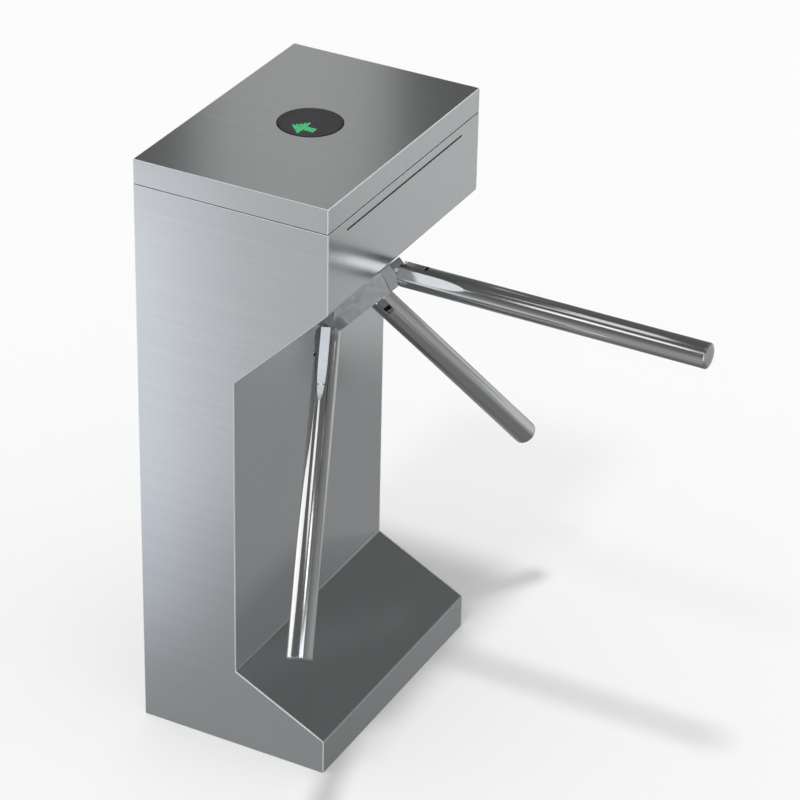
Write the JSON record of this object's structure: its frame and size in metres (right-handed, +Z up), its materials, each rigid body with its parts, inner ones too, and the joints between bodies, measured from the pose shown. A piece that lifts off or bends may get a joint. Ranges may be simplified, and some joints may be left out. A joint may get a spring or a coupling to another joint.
{
  "type": "tripod turnstile",
  "caption": "Floor-standing waist-high turnstile: brushed steel cabinet with a recessed passage side and a slanted face that carries a hub with rotating drop arms.",
  "frame": {"origin": "centre of the cabinet's footprint, on the floor", "axes": "+X towards the passage, +Y along the passage, +Z up"},
  "size_m": [0.8449, 0.797, 1.0004],
  "materials": {
    "brushed_stainless": "brushed stainless sheet, fine grain lying level",
    "polished_stainless": "polished stainless",
    "machined_steel": "turned and ground steel",
    "cast_aluminium": "cast, ground and satin polished",
    "cast_iron": "cast with machined seats",
    "painted_steel": "dark grey powder paint",
    "yellow_brass": "machined brass",
    "black_rubber": "black cellular rubber",
    "smoked_lens": "smoked acrylic, glossy",
    "dark_plastic": "black moulded plastic",
    "circuit_board": "green laminate with black parts",
    "green_lamp": "lit green lamps"
  },
  "bodies": {
    "cabinet": {"side_plate_near": "brushed_stainless", "side_plate_far": "brushed_stainless", "front_sheet": "brushed_stainless", "rear_frame": "brushed_stainless", "base_plate": "painted_steel", "top_frame": "painted_steel", "lid_gasket": "black_rubber", "slot_window": "smoked_lens", "lamp_strip": "circuit_board", "hinge_frame_leaves": "machined_steel", "hinge_rods": "machined_steel", "latch_bracket": "machined_steel", "bearing_housing": "cast_iron", "housing_fasteners": "machined_steel", "shaft_seal": "black_rubber", "bearing_outer_rings": "machined_steel", "bearing_balls": "machined_steel", "bearing_spacer": "machined_steel", "mechanism_plate": "machined_steel", "drive_motor": "painted_steel", "pawl_pins": "machined_steel", "lock_solenoids": "painted_steel", "light_barrier": "dark_plastic", "equipment_panel": "painted_steel", "power_supply": "painted_steel", "control_board": "circuit_board"},
    "lid": {"top_lid": "brushed_stainless", "indicator_lens": "smoked_lens", "lens_ring": "dark_plastic", "indicator_board": "circuit_board", "arrow_lamps": "green_lamp", "lid_hinge_leaf": "machined_steel", "lid_catch": "machined_steel"},
    "door": {"door_hinge_leaf": "machined_steel", "service_door": "brushed_stainless", "door_lock": "polished_stainless"},
    "latch": {"lid_latch": "yellow_brass"},
    "lock_plug": {"door_lock_cam": "yellow_brass"},
    "tripod": {"bearing_inner_rings": "machined_steel", "main_shaft": "machined_steel", "drive_gear": "yellow_brass", "lock_disc": "machined_steel", "encoder_disc": "dark_plastic", "shaft_nut": "machined_steel", "hub_body": "cast_aluminium", "hub_screws": "machined_steel", "hub_cap": "polished_stainless", "hinge_tongues": "machined_steel", "hinge_pins": "machined_steel"},
    "pinion": {"motor_pinion": "machined_steel"},
    "far_pawl": {"pawl_far": "machined_steel"},
    "near_pawl": {"pawl_near": "machined_steel"},
    "far_plunger": {"plunger_far": "machined_steel"},
    "near_plunger": {"plunger_near": "machined_steel"},
    "first_arm": {"arm_1": "polished_stainless", "arm_1_end_cap": "polished_stainless"},
    "second_arm": {"arm_2": "polished_stainless", "arm_2_end_cap": "polished_stainless"},
    "third_arm": {"arm_3": "polished_stainless", "arm_3_end_cap": "polished_stainless"}
  },
  "joints": [
    {"name": "tripod_spin", "type": "hinge", "parent": "cabinet", "child": "tripod", "pos_m": [0.085, 0, 0.746], "axis": [0.7071, 0, -0.7071], "continuous": true},
    {"name": "arm_1_drop", "type": "hinge", "parent": "tripod", "child": "first_arm", "pos_m": [0.1764, 0, 0.7796], "axis": [0, 1, 0], "range_deg": [0, 90]},
    {"name": "arm_2_drop", "type": "hinge", "parent": "tripod", "child": "second_arm", "pos_m": [0.08265, -0.07655, 0.68585], "axis": [0.6124, -0.5, 0.6124], "range_deg": [0, 18]},
    {"name": "arm_3_drop", "type": "hinge", "parent": "tripod", "child": "third_arm", "pos_m": [0.08265, 0.07655, 0.68585], "axis": [-0.6124, -0.5, -0.6124], "range_deg": [0, 18]},
    {"name": "lid_open", "type": "hinge", "parent": "cabinet", "child": "lid", "pos_m": [-0.1695, 0, 0.95925], "axis": [0, -1, 0], "range_deg": [0, 95]},
    {"name": "lid_latch_turn", "type": "hinge", "parent": "cabinet", "child": "latch", "pos_m": [0.126, -0.038, 0.9355], "axis": [0, 0, -1], "range_deg": [0, 90]},
    {"name": "door_open", "type": "hinge", "parent": "cabinet", "child": "door", "pos_m": [-0.1695, 0.1895, 0.39], "axis": [0, 0, -1], "range_deg": [0, 110]},
    {"name": "door_lock_turn", "type": "hinge", "parent": "door", "child": "lock_plug", "pos_m": [-0.165, -0.15, 0.39], "axis": [-1, 0, 0], "range_deg": [0, 90]},
    {"name": "motor_turn", "type": "hinge", "parent": "cabinet", "child": "pinion", "pos_m": [-0.02814, 0, 0.75731], "axis": [0.7071, 0, -0.7071], "continuous": true},
    {"name": "far_pawl_turn", "type": "hinge", "parent": "cabinet", "child": "far_pawl", "pos_m": [-0.02955, 0.043, 0.7757], "axis": [0.7071, 0, -0.7071], "range_deg": [0, 7.6], "stiffness_Nm_per_rad": 0.1, "springref_deg": -34.38},
    {"name": "near_pawl_turn", "type": "hinge", "parent": "cabinet", "child": "near_pawl", "pos_m": [-0.02955, -0.043, 0.7757], "axis": [-0.7071, 0, 0.7071], "range_deg": [0, 7.6], "stiffness_Nm_per_rad": 0.1, "springref_deg": -34.38},
    {"name": "far_plunger_push", "type": "slide", "parent": "cabinet", "child": "far_plunger", "axis": [0, -1, 0], "range_m": [0, 0.0067]},
    {"name": "near_plunger_push", "type": "slide", "parent": "cabinet", "child": "near_plunger", "axis": [0, 1, 0], "range_m": [0, 0.0067]}
  ],
  "couplings": [
    {"joint": "motor_turn", "follows": "tripod_spin", "ratio": -2},
    {"joint": "far_plunger_push", "follows": "far_pawl_turn", "m_per_rad": 0.05},
    {"joint": "near_plunger_push", "follows": "near_pawl_turn", "m_per_rad": 0.05}
  ]
}
